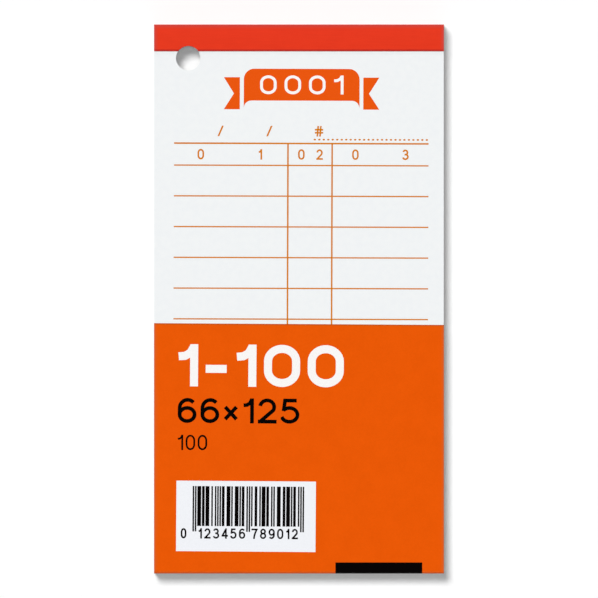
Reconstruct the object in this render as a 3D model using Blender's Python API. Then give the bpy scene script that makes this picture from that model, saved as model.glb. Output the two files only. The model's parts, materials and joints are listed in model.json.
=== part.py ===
"""Guest check pad.

One hundred perforated checks lie on a chipboard back. Two wire staples bind them at the head,
a cloth tape wraps the head over the staples, and a cover card runs down the back, round the
foot and halfway up the front. The top check is a leaf and a stub, parted at its perforation.

Units are metres and +Z is up. The pad lies on its back with its taped head towards +Y. The
origin is under the middle of the pad, on the surface it lies on.
"""

import math

import bmesh
import bpy
from mathutils import Matrix

# Pad
PAD_WIDTH = 0.0660
PAD_LENGTH = 0.1250

# Checks
CHECK_COUNT = 100
SINGLE_CHECKS = 40
BLOCK_COUNT = 3
CHECK_THICKNESS = 0.000065
CHECK_GAP = 0.000010
CHECK_SIDE_INSET = 0.00005

# Perforation
PERFORATION_BELOW_TAPE = 0.00060
PERFORATION_CUT_WIDTH = 0.00020
PERFORATION_PITCH = 0.0110
PERFORATION_TIE = 0.0007
TEAR_GAP = 0.00002

# Chipboard back and cover card
BOARD_THICKNESS = 0.00070
CARD_THICKNESS = 0.00025
FLAP_HEIGHT_LEFT = 0.0570
FLAP_HEIGHT_RIGHT = 0.0566
CREASE_GAP = 0.00003

# Binding tape
TAPE_THICKNESS = 0.00018
TAPE_FLAP = 0.0061

# Hang hole
HOLE_RADIUS = 0.0029
HOLE_FROM_LEFT = 0.0078
HOLE_FROM_HEAD = 0.0077
HOLE_SIDES = 32
CHECK_HOLE_SIDES = 16

# Staples
WIRE_DIAMETER = 0.00050
CROWN_WIDTH = 0.0120
CLINCH_LENGTH = 0.0045
STAPLE_SPACING = 0.0280
STAPLE_FROM_HEAD = 0.0032
WIRE_BEND_RADIUS = 0.00040
WIRE_CLEARANCE = 0.00005
BEND_STEPS = 4

# Clearance between the stack and what wraps it, and the bends' inner radius that clears its corners
WRAP_CLEARANCE = 0.00006
WRAP_INNER_RADIUS = 2.5 * WRAP_CLEARANCE

WELD_DISTANCE = 0.000001

# Levels, from the surface the pad lies on
CARD_LOW = TAPE_THICKNESS + WRAP_CLEARANCE
BOARD_LOW = CARD_LOW + CARD_THICKNESS + WRAP_CLEARANCE
CHECK_PITCH = CHECK_THICKNESS + CHECK_GAP
STACK_LOW = BOARD_LOW + BOARD_THICKNESS + CHECK_GAP
STACK_HIGH = STACK_LOW + CHECK_COUNT * CHECK_PITCH - CHECK_GAP
TAPE_HIGH = STACK_HIGH + WRAP_CLEARANCE + TAPE_THICKNESS
CARD_HIGH = STACK_HIGH + WRAP_CLEARANCE + CARD_THICKNESS

# Places along the pad
HEAD = PAD_LENGTH / 2
FOOT = -PAD_LENGTH / 2
CHECK_HEAD = HEAD - TAPE_THICKNESS - WRAP_CLEARANCE
CHECK_FOOT = FOOT + CARD_THICKNESS + WRAP_CLEARANCE
CHECK_WIDTH = PAD_WIDTH - 2 * CHECK_SIDE_INSET
CREASE_Y = FOOT + CARD_THICKNESS + WRAP_INNER_RADIUS
PERFORATION_Y = HEAD - TAPE_FLAP - PERFORATION_BELOW_TAPE
HOLE_X = -PAD_WIDTH / 2 + HOLE_FROM_LEFT
HOLE_Y = HEAD - HOLE_FROM_HEAD
STAPLE_Y = HEAD - STAPLE_FROM_HEAD

# The crown is pressed into the top checks, and the clinched ends into the cover and the board
SLOTTED_CHECKS = math.ceil((WIRE_DIAMETER + WIRE_CLEARANCE) / CHECK_PITCH)
CROWN_Z = (STACK_HIGH - SLOTTED_CHECKS * CHECK_PITCH
           + WIRE_CLEARANCE + WIRE_DIAMETER / 2)
CLINCH_Z = CARD_LOW + WIRE_DIAMETER / 2
GROOVE_HIGH = CLINCH_Z + WIRE_DIAMETER / 2 + WIRE_CLEARANCE
LEG_HOLE = WIRE_DIAMETER + 2 * WIRE_CLEARANCE


def clear_scene():
    """Remove what the scene starts with."""
    for scene_object in list(bpy.data.objects):
        bpy.data.objects.remove(scene_object, do_unlink=True)


def new_collection(name):
    collection = bpy.data.collections.new(name)
    bpy.context.scene.collection.children.link(collection)
    return collection


def new_material(name, colour, roughness, metallic=0.0):
    """Principled material with one colour."""
    material = bpy.data.materials.new(name)
    material.use_nodes = True
    shader = material.node_tree.nodes["Principled BSDF"]
    shader.inputs["Base Color"].default_value = (*colour, 1.0)
    shader.inputs["Roughness"].default_value = roughness
    shader.inputs["Metallic"].default_value = metallic
    material.diffuse_color = (*colour, 1.0)
    return material


def rectangle(x_low, x_high, y_low, y_high):
    return [(x_low, y_low), (x_high, y_low), (x_high, y_high), (x_low, y_high)]


def arc(centre, radius, start_deg, end_deg, steps):
    """Points along an arc, both ends included."""
    points = []
    for step in range(steps + 1):
        angle = math.radians(start_deg + (end_deg - start_deg) * step / steps)
        points.append((centre[0] + radius * math.cos(angle), centre[1] + radius * math.sin(angle)))
    return points


def hole_outline(sides):
    """Hang hole as a polygon whose flats touch the punched circle."""
    return arc((HOLE_X, HOLE_Y), HOLE_RADIUS / math.cos(math.pi / sides),
               180 / sides, 180 / sides + 360 * (sides - 1) / sides, sides - 1)


def staple_centres():
    return {"staple_left": -STAPLE_SPACING / 2, "staple_right": STAPLE_SPACING / 2}


def leg_hole_outlines():
    """Square hole round each of the four staple legs."""
    outlines = []
    for centre in staple_centres().values():
        for side in (-1, 1):
            leg = centre + side * CROWN_WIDTH / 2
            outlines.append(rectangle(leg - LEG_HOLE / 2, leg + LEG_HOLE / 2,
                                      STAPLE_Y - LEG_HOLE / 2, STAPLE_Y + LEG_HOLE / 2))
    return outlines


def wire_slot_outlines():
    """Slot round each staple's crown, which also passes the two legs."""
    reach = (CROWN_WIDTH + LEG_HOLE) / 2
    return [rectangle(centre - reach, centre + reach, STAPLE_Y - LEG_HOLE / 2, STAPLE_Y + LEG_HOLE / 2)
            for centre in staple_centres().values()]


def perforation_runs():
    """Cuts along the tear line as (start, end), in one list left and one right of the hang hole.

    Each run has a tie between its cuts and at both ends. A hole clear of the line leaves one run.
    """
    half_width = CHECK_WIDTH / 2
    hole_reach = HOLE_RADIUS / math.cos(math.pi / CHECK_HOLE_SIDES)
    offset = max(0.0, abs(PERFORATION_Y - HOLE_Y) - PERFORATION_CUT_WIDTH / 2)
    stretches = [(-half_width, half_width)]
    if offset < hole_reach:
        half_chord = math.sqrt(hole_reach ** 2 - offset ** 2)
        stretches = [(-half_width, HOLE_X - half_chord), (HOLE_X + half_chord, half_width)]
    runs = []
    for run_start, run_end in stretches:
        count = max(1, round((run_end - run_start) / PERFORATION_PITCH))
        length = (run_end - run_start - (count + 1) * PERFORATION_TIE) / count
        starts = [run_start + PERFORATION_TIE + index * (length + PERFORATION_TIE) for index in range(count)]
        runs.append([(start, start + length) for start in starts])
    return runs


def perforation_outlines():
    """Outline of each cut of the perforation."""
    half_cut = PERFORATION_CUT_WIDTH / 2
    return [rectangle(start, end, PERFORATION_Y - half_cut, PERFORATION_Y + half_cut)
            for run in perforation_runs() for start, end in run]


def hole_crosses_tear():
    return abs(PERFORATION_Y - HOLE_Y) < HOLE_RADIUS


def torn_edge(side):
    """Torn edge from left to right, above the tear line for side 1 and below it for side -1.

    Half of each tie stands out between the cuts, and the edge follows the hang hole's rim.
    """
    tie_end = PERFORATION_Y + side * TEAR_GAP / 2
    cut_edge = PERFORATION_Y + side * PERFORATION_CUT_WIDTH / 2
    edge = [(-CHECK_WIDTH / 2, tie_end)]
    for index, run in enumerate(perforation_runs()):
        if index > 0 and hole_crosses_tear():
            rise = math.degrees(math.asin((tie_end - HOLE_Y) / HOLE_RADIUS))
            right_end = rise if side > 0 else 360 + rise
            edge += arc((HOLE_X, HOLE_Y), HOLE_RADIUS, 180 - rise, right_end, HOLE_SIDES)
        for start, end in run:
            edge += [(start, tie_end), (start, cut_edge), (end, cut_edge), (end, tie_end)]
    return edge + [(CHECK_WIDTH / 2, tie_end)]


def channel_outline(y_edge, y_end, z_low, z_high, thickness):
    """Section of a sheet bent twice round an edge of the pad, from y_end round y_edge and back.

    The bends face the side that y_edge lies on. Points are (y, z).
    """
    side = 1 if y_edge > y_end else -1
    inner = WRAP_INNER_RADIUS
    outer = inner + thickness
    centre_y = y_edge - side * outer

    def bend(centre_z, radius, start_deg, end_deg):
        if side < 0:
            start_deg, end_deg = 180 - start_deg, 180 - end_deg
        return arc((centre_y, centre_z), radius, start_deg, end_deg, BEND_STEPS)

    outside = bend(z_low + outer, outer, -90, 0) + bend(z_high - outer, outer, 0, 90)
    inside = bend(z_high - outer, inner, 90, 0) + bend(z_low + outer, inner, 0, -90)
    return remove_repeats([(y_end, z_low)] + outside + [(y_end, z_high), (y_end, z_high - thickness)]
                          + inside + [(y_end, z_low + thickness)])


def remove_repeats(points):
    """Outline without points that fall on the one before."""
    kept = []
    for point in points:
        if not kept or math.dist(point, kept[-1]) > WELD_DISTANCE:
            kept.append(point)
    return kept


def mesh_from_curve(curve_object):
    """Plain mesh of an evaluated curve, with its loose caps welded on."""
    bpy.context.view_layer.update()
    depsgraph = bpy.context.evaluated_depsgraph_get()
    mesh = bpy.data.meshes.new_from_object(curve_object.evaluated_get(depsgraph))
    mesh.name = curve_object.name
    shape = bmesh.new()
    shape.from_mesh(mesh)
    bmesh.ops.remove_doubles(shape, verts=shape.verts, dist=WELD_DISTANCE)
    bmesh.ops.recalc_face_normals(shape, faces=shape.faces)
    shape.to_mesh(mesh)
    shape.free()
    curve_data = curve_object.data
    bpy.data.objects.remove(curve_object, do_unlink=True)
    bpy.data.curves.remove(curve_data)
    return mesh


def plate_mesh(name, outlines, thickness):
    """Plate from z = 0 up: a filled flat curve, one spline for its outline and one for each hole."""
    curve = bpy.data.curves.new(name, "CURVE")
    curve.dimensions = "2D"
    curve.fill_mode = "BOTH"
    curve.extrude = thickness / 2
    for outline in outlines:
        spline = curve.splines.new("POLY")
        spline.points.add(len(outline) - 1)
        for point, (x, y) in zip(spline.points, outline):
            point.co = (x, y, 0.0, 1.0)
        spline.use_cyclic_u = True
    curve_object = bpy.data.objects.new(name, curve)
    bpy.context.scene.collection.objects.link(curve_object)
    mesh = mesh_from_curve(curve_object)
    mesh.transform(Matrix.Translation((0.0, 0.0, thickness / 2)))
    return mesh


def channel_mesh(name, section, width):
    """Section in (y, z) drawn along X over the width."""
    mesh = plate_mesh(name, [section], width)
    mesh.transform(Matrix(((0, 0, 1, -width / 2), (1, 0, 0, 0), (0, 1, 0, 0), (0, 0, 0, 1))))
    return mesh


def add_piece(name, mesh, material, location=(0.0, 0.0, 0.0)):
    """Object of one sub-part, linked to the pad's collection."""
    if not mesh.materials:
        mesh.materials.append(material)
    piece = bpy.data.objects.new(name, mesh)
    piece.location = location
    pad_collection.objects.link(piece)
    return piece


def add_box_cutter(name, low, high):
    """Hidden box between two corners."""
    mesh = bpy.data.meshes.new(name)
    shape = bmesh.new()
    bmesh.ops.create_cube(shape, size=1.0)
    for vertex in shape.verts:
        vertex.co = [low[axis] + (vertex.co[axis] + 0.5) * (high[axis] - low[axis]) for axis in range(3)]
    shape.to_mesh(mesh)
    shape.free()
    return hide_cutter(bpy.data.objects.new(name, mesh))


def add_hole_cutter():
    """Hidden punch through the whole pad."""
    height = CARD_HIGH * 2
    mesh = plate_mesh("hole_cutter", [hole_outline(HOLE_SIDES)], height)
    cutter = bpy.data.objects.new("hole_cutter", mesh)
    cutter.location.z = -CARD_HIGH / 2
    return hide_cutter(cutter)


def hide_cutter(cutter):
    cutter.hide_render = True
    cutter.display_type = "WIRE"
    cutter_collection.objects.link(cutter)
    return cutter


def cut(piece, cutter):
    """Exact Boolean difference, kept as a modifier."""
    modifier = piece.modifiers.new(cutter.name, "BOOLEAN")
    modifier.operation = "DIFFERENCE"
    modifier.solver = "EXACT"
    modifier.object = cutter


def check_outlines(wire_outlines):
    """One check from head to foot with its hang hole, perforation and staple holes."""
    sheet = rectangle(-CHECK_WIDTH / 2, CHECK_WIDTH / 2, CHECK_FOOT, CHECK_HEAD)
    return [sheet, hole_outline(CHECK_HOLE_SIDES)] + perforation_outlines() + wire_outlines


def check_level(number):
    """Underside of a check. Check 1 is the top one."""
    return STACK_HIGH - CHECK_THICKNESS - (number - 1) * CHECK_PITCH


def add_top_check():
    """Top check in two: the leaf that is drawn out, and the stub that stays under the tape."""
    half_width = CHECK_WIDTH / 2
    leaf = [(half_width, CHECK_FOOT), (-half_width, CHECK_FOOT)] + torn_edge(-1)
    stub = [(half_width, CHECK_HEAD), (-half_width, CHECK_HEAD)] + torn_edge(1)
    leaf_outlines = [leaf]
    stub_outlines = [stub] + wire_slot_outlines()
    if not hole_crosses_tear():
        (leaf_outlines if HOLE_Y < PERFORATION_Y else stub_outlines).append(hole_outline(HOLE_SIDES))
    for name, outlines in (("check_001", leaf_outlines), ("stub_001", stub_outlines)):
        mesh = plate_mesh(name, outlines, CHECK_THICKNESS)
        add_piece(name, mesh, check_paper, (0.0, 0.0, check_level(1)))


def add_checks():
    """Checks under the top one: those round the staples' crowns, the plain ones, then the blocks."""
    slotted_mesh = plate_mesh("slotted_check", check_outlines(wire_slot_outlines()), CHECK_THICKNESS)
    plain_mesh = plate_mesh("plain_check", check_outlines(leg_hole_outlines()), CHECK_THICKNESS)
    for number in range(2, SINGLE_CHECKS + 1):
        mesh = slotted_mesh if number <= SLOTTED_CHECKS else plain_mesh
        add_piece(f"check_{number:03d}", mesh, check_paper, (0.0, 0.0, check_level(number)))
    first = SINGLE_CHECKS + 1
    for block in range(BLOCK_COUNT):
        last = SINGLE_CHECKS + round((CHECK_COUNT - SINGLE_CHECKS) * (block + 1) / BLOCK_COUNT)
        name = f"checks_{first:03d}_to_{last:03d}"
        thickness = (last - first + 1) * CHECK_PITCH - CHECK_GAP
        mesh = plate_mesh(name, check_outlines(leg_hole_outlines()), thickness)
        add_piece(name, mesh, check_paper, (0.0, 0.0, check_level(last)))
        first = last + 1


def add_board():
    """Chipboard back, grooved underneath for the clinched wire ends."""
    sheet = rectangle(-CHECK_WIDTH / 2, CHECK_WIDTH / 2, CHECK_FOOT, CHECK_HEAD)
    outlines = [sheet, hole_outline(CHECK_HOLE_SIDES)] + leg_hole_outlines()
    mesh = plate_mesh("back_board", outlines, BOARD_THICKNESS)
    board = add_piece("back_board", mesh, chipboard, (0.0, 0.0, BOARD_LOW))
    for (name, _), slot in zip(staple_centres().items(), wire_slot_outlines()):
        cutter = add_box_cutter(f"{name}_groove_cutter", (*slot[0], 0.0), (*slot[2], GROOVE_HIGH))
        cut(board, cutter)


def add_staple(name, centre):
    """Staple of round wire: crown on top, a leg down each side, ends clinched inwards underneath."""
    half = CROWN_WIDTH / 2
    bend = WIRE_BEND_RADIUS
    right_side = ([(half - CLINCH_LENGTH, CLINCH_Z)]
                  + arc((half - bend, CLINCH_Z + bend), bend, -90, 0, BEND_STEPS)
                  + arc((half - bend, CROWN_Z - bend), bend, 0, 90, BEND_STEPS))
    left_side = [(-x, z) for x, z in reversed(right_side)]
    curve = bpy.data.curves.new(name, "CURVE")
    curve.dimensions = "3D"
    curve.bevel_depth = WIRE_DIAMETER / 2
    curve.bevel_resolution = 2
    curve.use_fill_caps = True
    spline = curve.splines.new("POLY")
    path = right_side + left_side
    spline.points.add(len(path) - 1)
    for point, (x, z) in zip(spline.points, path):
        point.co = (x, 0.0, z, 1.0)
    curve_object = bpy.data.objects.new(name, curve)
    bpy.context.scene.collection.objects.link(curve_object)
    mesh = mesh_from_curve(curve_object)
    mesh.shade_smooth()
    add_piece(name, mesh, staple_wire, (centre, STAPLE_Y, 0.0))


def add_tape(hole_cutter):
    """Tape wrapped over the head, with its flaps notched by the hang hole."""
    section = channel_outline(HEAD, HEAD - TAPE_FLAP, 0.0, TAPE_HIGH, TAPE_THICKNESS)
    tape = add_piece("binding_tape", channel_mesh("binding_tape", section, PAD_WIDTH), tape_cloth)
    cut(tape, hole_cutter)


def add_cover():
    """Cover card in three panels: back, foot with both bends, and front flap."""
    half_width = PAD_WIDTH / 2
    back = rectangle(-half_width, half_width, CREASE_Y + CREASE_GAP, CHECK_HEAD)
    back_outlines = [back, hole_outline(CHECK_HOLE_SIDES)] + wire_slot_outlines()
    back_mesh = plate_mesh("cover_back", back_outlines, CARD_THICKNESS)
    add_piece("cover_back", back_mesh, cover_card, (0.0, 0.0, CARD_LOW))

    # The foot panel's origin is on the lower crease, the flap's on the upper one
    section = channel_outline(FOOT - CREASE_Y, 0.0, 0.0, CARD_HIGH - CARD_LOW, CARD_THICKNESS)
    foot_mesh = channel_mesh("cover_foot", section, PAD_WIDTH)
    add_piece("cover_foot", foot_mesh, cover_card, (0.0, CREASE_Y, CARD_LOW))

    flap = [(-half_width, CREASE_GAP), (half_width, CREASE_GAP),
            (half_width, FOOT + FLAP_HEIGHT_RIGHT - CREASE_Y),
            (-half_width, FOOT + FLAP_HEIGHT_LEFT - CREASE_Y)]
    flap_mesh = plate_mesh("cover_flap", [flap], CARD_THICKNESS)
    flap_mesh.transform(Matrix.Translation((0.0, 0.0, -CARD_THICKNESS)))
    add_piece("cover_flap", flap_mesh, cover_card, (0.0, CREASE_Y, CARD_HIGH))


clear_scene()
pad_collection = new_collection("guest_check_pad")
cutter_collection = new_collection("cutters")

check_paper = new_material("check_paper", (0.88, 0.91, 0.93), 0.8)
cover_card = new_material("cover_card", (0.81, 0.10, 0.002), 0.45)
tape_cloth = new_material("tape_cloth", (0.80, 0.045, 0.018), 0.6)
chipboard = new_material("chipboard", (0.42, 0.38, 0.33), 0.9)
staple_wire = new_material("staple_wire", (0.62, 0.62, 0.63), 0.3, 1.0)

add_cover()
add_board()
add_checks()
add_top_check()
for staple_name, staple_centre in staple_centres().items():
    add_staple(staple_name, staple_centre)
add_tape(add_hole_cutter())
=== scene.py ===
# Looks of the guest check pad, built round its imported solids
import json
import math
import random

import bmesh
import bpy
from mathutils import Matrix, Vector
from mathutils.geometry import delaunay_2d_cdt


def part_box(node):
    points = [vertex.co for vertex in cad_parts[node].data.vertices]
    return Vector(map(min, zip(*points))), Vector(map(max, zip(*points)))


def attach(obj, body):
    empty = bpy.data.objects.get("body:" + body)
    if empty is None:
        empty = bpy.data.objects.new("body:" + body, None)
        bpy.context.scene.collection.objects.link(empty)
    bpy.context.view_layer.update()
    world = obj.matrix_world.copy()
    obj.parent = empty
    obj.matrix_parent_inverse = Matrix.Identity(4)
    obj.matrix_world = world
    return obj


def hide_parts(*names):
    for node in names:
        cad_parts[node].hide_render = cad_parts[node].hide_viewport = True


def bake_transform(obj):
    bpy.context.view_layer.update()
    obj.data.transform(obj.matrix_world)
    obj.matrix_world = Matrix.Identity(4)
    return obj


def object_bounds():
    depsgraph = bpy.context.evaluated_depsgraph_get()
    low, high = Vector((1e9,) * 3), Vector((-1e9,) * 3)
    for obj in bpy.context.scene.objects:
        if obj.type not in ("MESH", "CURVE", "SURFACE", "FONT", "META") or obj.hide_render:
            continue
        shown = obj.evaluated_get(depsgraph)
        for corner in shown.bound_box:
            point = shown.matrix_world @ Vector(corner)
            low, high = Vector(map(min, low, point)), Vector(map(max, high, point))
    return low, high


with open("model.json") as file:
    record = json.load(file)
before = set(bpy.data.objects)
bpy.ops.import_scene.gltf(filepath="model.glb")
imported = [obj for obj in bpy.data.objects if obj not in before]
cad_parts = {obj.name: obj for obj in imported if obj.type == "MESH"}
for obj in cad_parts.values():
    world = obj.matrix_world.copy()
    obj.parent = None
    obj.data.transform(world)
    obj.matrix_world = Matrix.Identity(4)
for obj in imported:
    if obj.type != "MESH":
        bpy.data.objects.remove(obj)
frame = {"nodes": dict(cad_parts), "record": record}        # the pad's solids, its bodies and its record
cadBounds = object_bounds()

mm = 0.001
weldDistance = 1e-7

# What the solids give: every piece below takes its place from these
tapeLow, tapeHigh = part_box("binding_tape")
leafLow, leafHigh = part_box("check_001")
stubLow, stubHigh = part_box("stub_001")
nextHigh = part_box("check_002")[1]
flapLow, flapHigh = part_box("cover_flap")
backLow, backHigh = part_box("cover_back")
footLow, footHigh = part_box("cover_foot")
hangHole = frame["record"]["physics"]["openings"][0]["box_m"]
holeX = (hangHole[0][0] + hangHole[1][0]) / 2
holeY = (hangHole[0][1] + hangHole[1][1]) / 2
creaseY = (flapLow.y + footHigh.y) / 2
sheetWidth = leafHigh.x - leafLow.x
sheetThickness = leafHigh.z - leafLow.z
sheetPitch = leafHigh.z - nextHigh.z
tearLine = (leafHigh.y + stubLow.y) / 2
checkNodes = [name for name in frame["nodes"] if name.startswith("check") and name != "check_001"]


# Node trees and meshes that several pieces share

def addNode(tree, kind, inputs=None, **settings):
    node = tree.nodes.new(kind)
    for name, value in settings.items():
        setattr(node, name, value)
    for key, value in (inputs or {}).items():
        if isinstance(value, bpy.types.NodeSocket):
            tree.links.new(value, node.inputs[key])
        else:
            node.inputs[key].default_value = value
    return node


def addStep(tree, kind, inputs=None, **settings):
    # a node of which only the first output is used
    return addNode(tree, kind, inputs, **settings).outputs[0]


def addMath(tree, operation, *values, clamp=False):
    return addStep(tree, "ShaderNodeMath", dict(enumerate(values)), operation=operation, use_clamp=clamp)


def axisOf(tree, vector, axis):
    return addNode(tree, "ShaderNodeSeparateXYZ", {0: vector}).outputs[axis]


def joined(tree, *parts):
    node = tree.nodes.new("GeometryNodeJoinGeometry")
    for part in parts:
        tree.links.new(part, node.inputs[0])
    return node.outputs[0]


def newTree(name, sockets):
    tree = bpy.data.node_groups.new(name, "GeometryNodeTree")
    for label, kind in {"Geometry": "Geometry", **sockets, "Material": "Material"}.items():
        tree.interface.new_socket(label, in_out="INPUT", socket_type="NodeSocket" + kind)
    tree.interface.new_socket("Geometry", in_out="OUTPUT", socket_type="NodeSocketGeometry")
    return tree, tree.nodes.new("NodeGroupInput").outputs


def endTree(tree, source, geometry):
    flat = addStep(tree, "GeometryNodeRealizeInstances", {"Geometry": geometry})
    painted = addStep(tree, "GeometryNodeSetMaterial", {"Geometry": flat, "Material": source["Material"]})
    addNode(tree, "NodeGroupOutput", {0: painted})
    return tree


def newPiece(name, mesh):
    piece = bpy.data.objects.new(name, mesh)
    bpy.context.scene.collection.objects.link(piece)
    return piece


def asMesh(piece):
    # what the modifiers or the curve make, as a plain mesh in the piece's place
    bpy.context.view_layer.update()
    seen = piece.evaluated_get(bpy.context.evaluated_depsgraph_get())
    mesh = bpy.data.meshes.new_from_object(seen)
    mesh.transform(piece.matrix_world)
    mesh.name = piece.name
    bpy.data.objects.remove(piece, do_unlink=True)
    return mesh


def intoMesh(shape, mesh):
    shape.to_mesh(mesh)
    shape.free()
    return mesh


def onePaint(mesh, material):
    mesh.materials.clear()
    mesh.materials.append(material)
    mesh.polygons.foreach_set("material_index", [0] * len(mesh.polygons))
    return mesh


def runTree(name, mesh, tree, values):
    piece = newPiece(name, mesh)
    modifier = piece.modifiers.new(tree.name, "NODES")
    modifier.node_group = tree
    for item in tree.interface.items_tree:
        if item.in_out == "INPUT" and item.name in values:
            modifier[item.identifier] = values[item.name]
    return onePaint(asMesh(piece), values["Material"])


def move(mesh, x, y, z):
    mesh.transform(Matrix.Translation((x, y, z)))
    return mesh


def turnInPlace(mesh, degrees, centre):
    turn = Matrix.Rotation(math.radians(degrees), 4, "Z")
    place = Matrix.Translation((centre[0], centre[1], 0))
    mesh.transform(place @ turn @ place.inverted())
    return mesh


def everything(shape):
    return shape.verts[:] + shape.edges[:] + shape.faces[:]


def arc(centreX, centreY, radius, startDeg, endDeg, steps):
    angles = [math.radians(startDeg + (endDeg - startDeg) * step / steps) for step in range(steps + 1)]
    return [(centreX + radius * math.cos(a), centreY + radius * math.sin(a)) for a in angles]


def circle(centreX, centreY, radius, sides):
    return arc(centreX, centreY, radius, 0, 360 - 360 / sides, sides - 1)


def rectangle(left, right, low, high):
    return [(left, low), (right, low), (right, high), (left, high)]


def flatMesh(name, outlines, thickness, material):
    # filled outlines from z = 0 up, each one a closed plate
    curve = bpy.data.curves.new(name, "CURVE")
    curve.dimensions = "2D"
    curve.fill_mode = "BOTH"
    curve.extrude = thickness / 2
    for outline in outlines:
        spline = curve.splines.new("POLY")
        spline.points.add(len(outline) - 1)
        for point, (x, y) in zip(spline.points, outline):
            point.co = (x, y, 0, 1)
        spline.use_cyclic_u = True
    mesh = move(asMesh(newPiece(name, curve)), 0, 0, thickness / 2)
    shape = bmesh.new()
    shape.from_mesh(mesh)
    bmesh.ops.remove_doubles(shape, verts=shape.verts, dist=weldDistance)
    bmesh.ops.recalc_face_normals(shape, faces=shape.faces)
    return onePaint(intoMesh(shape, mesh), material)


def joinMeshes(name, meshes):
    paints = list(dict.fromkeys(mesh.materials[0] for mesh in meshes))
    whole = bpy.data.meshes.new(name)
    shape = bmesh.new()
    for mesh in meshes:
        before = len(shape.faces)
        shape.from_mesh(mesh)
        shape.faces.ensure_lookup_table()
        for face in shape.faces[before:]:
            face.material_index = paints.index(mesh.materials[0])
    for paint in paints:
        whole.materials.append(paint)
    return intoMesh(shape, whole)


# Numerals, drawn with a pen of even width

def bow(centreX, centreY, radiusX, radiusY, startDeg, endDeg):
    # an arc of an ellipse, as a path for the pen
    steps = max(2, round(abs(endDeg - startDeg) / numerals["degreesPerStep"]))
    return [(centreX + radiusX * x, centreY + radiusY * y) for x, y in arc(0, 0, 1, startDeg, endDeg, steps)]


numerals = {
    "degreesPerStep": 12,
    "width": 0.62,                     # of the height, for a numeral that isn't named below
    "narrow": {"1": 0.38, "-": 0.36, "×": 0.50, "/": 0.42, "#": 0.70},
    "mitre": 0.5,                      # the least cosine that a corner's mitre follows
    "near": 1e-6,                      # of the height: points this close are one
    "overlap": 1e-5,                   # the same, where strokes are united
}
# Pen paths in a box one wide and one high. A path that leaves the box is cut off square there.
sixPaths = [bow(0.50, 0.31, 0.50, 0.31, 0, 360), bow(0.53, 0.62, 0.53, 0.38, 42, 180) + [(0.0, 0.31)]]
numeralPaths = {
    "0": [bow(0.50, 0.64, 0.50, 0.36, 0, 180) + bow(0.50, 0.36, 0.50, 0.36, 180, 360) + [(1.0, 0.64)]],
    "1": [[(1.0, -0.3), (1.0, 1.3)], [(-0.1, 0.76), (0.35, 0.775), (0.72, 0.86), (1.0, 1.06)]],
    "2": [bow(0.49, 0.69, 0.47, 0.31, 172, -32) + [(0.02, 0.0)], [(-0.3, 0.0), (1.3, 0.0)]],
    "3": [bow(0.47, 0.755, 0.42, 0.245, 165, -90), [(0.30, 0.525), (0.50, 0.525)],
          bow(0.47, 0.27, 0.52, 0.27, 90, -165)],
    "4": [[(0.74, -0.3), (0.74, 1.3)], [(0.76, 1.04), (0.02, 0.265)], [(-0.3, 0.245), (1.3, 0.245)]],
    "5": [[(0.94, 1.0), (0.16, 1.0), (0.07, 0.50)], bow(0.46, 0.325, 0.54, 0.325, 138, -163)],
    "6": sixPaths,
    "7": [[(-0.3, 1.0), (1.3, 1.0)], [(0.98, 1.0), (0.66, 0.62), (0.44, 0.24), (0.34, -0.3)]],
    "8": [bow(0.50, 0.76, 0.43, 0.24, 0, 360), bow(0.50, 0.265, 0.50, 0.265, 0, 360)],
    "9": [[(1 - x, 1 - y) for x, y in path] for path in sixPaths],
    "-": [[(-0.5, 0.40), (1.5, 0.40)]],
    "×": [[(0.0, 0.10), (1.0, 0.68)], [(0.0, 0.68), (1.0, 0.10)]],
    "/": [[(-0.12, -0.3), (1.12, 1.3)]],
    "#": [[(0.22, -0.3), (0.40, 1.3)], [(0.62, -0.3), (0.80, 1.3)],
          [(-0.3, 0.33), (1.3, 0.33)], [(-0.3, 0.67), (1.3, 0.67)]],
}


def penStroke(path, half):
    # four-cornered pieces of an even stroke along a path, mitred where it turns
    closed = math.dist(path[0], path[-1]) < numerals["near"]
    points = [Vector(point) for point in (path[:-1] if closed else path)]
    steps = [(points[(i + 1) % len(points)] - point).normalized() for i, point in enumerate(points)]
    sides = []
    for index, point in enumerate(points):
        before = steps[index - 1] if index > 0 or closed else steps[0]
        after = steps[index] if index < len(points) - 1 or closed else before
        along = (before + after).normalized()
        side = Vector((-along.y, along.x)) * half / max(numerals["mitre"], along.dot(after))
        sides.append((point + side, point - side))
    pairs = list(zip(sides, sides[1:] + sides[:1]))
    return [(a[0], a[1], b[1], b[0]) for a, b in (pairs if closed else pairs[:-1])]


def drawNumeral(character, width, pen):
    # one numeral of height 1, its strokes united and trimmed to its box
    points, pieces = [], []
    for path in numeralPaths[character]:
        placed = [(pen / 2 + x * (width - pen), pen / 2 + y * (1 - pen)) for x, y in path]
        for corners in penStroke(placed, pen / 2):
            pieces.append(list(range(len(points), len(points) + 4)))
            points.extend(corners)
    points, _, triangles, _, _, covers = delaunay_2d_cdt(points, [], pieces, 1, numerals["overlap"])
    shape = bmesh.new()
    corners = [shape.verts.new((x, y, 0)) for x, y in points]
    for triangle, cover in zip(triangles, covers):
        if cover:
            shape.faces.new([corners[index] for index in triangle])
    for spot, outwards in (((0, 0, 0), (-1, 0, 0)), ((0, 0, 0), (0, -1, 0)),
                           ((width, 0, 0), (1, 0, 0)), ((0, 1, 0), (0, 1, 0))):
        bmesh.ops.bisect_plane(shape, geom=everything(shape), dist=numerals["near"], plane_co=spot,
                               plane_no=outwards, clear_outer=True)
    bmesh.ops.delete(shape, geom=[v for v in shape.verts if not v.link_faces], context="VERTS")
    return shape


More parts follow.
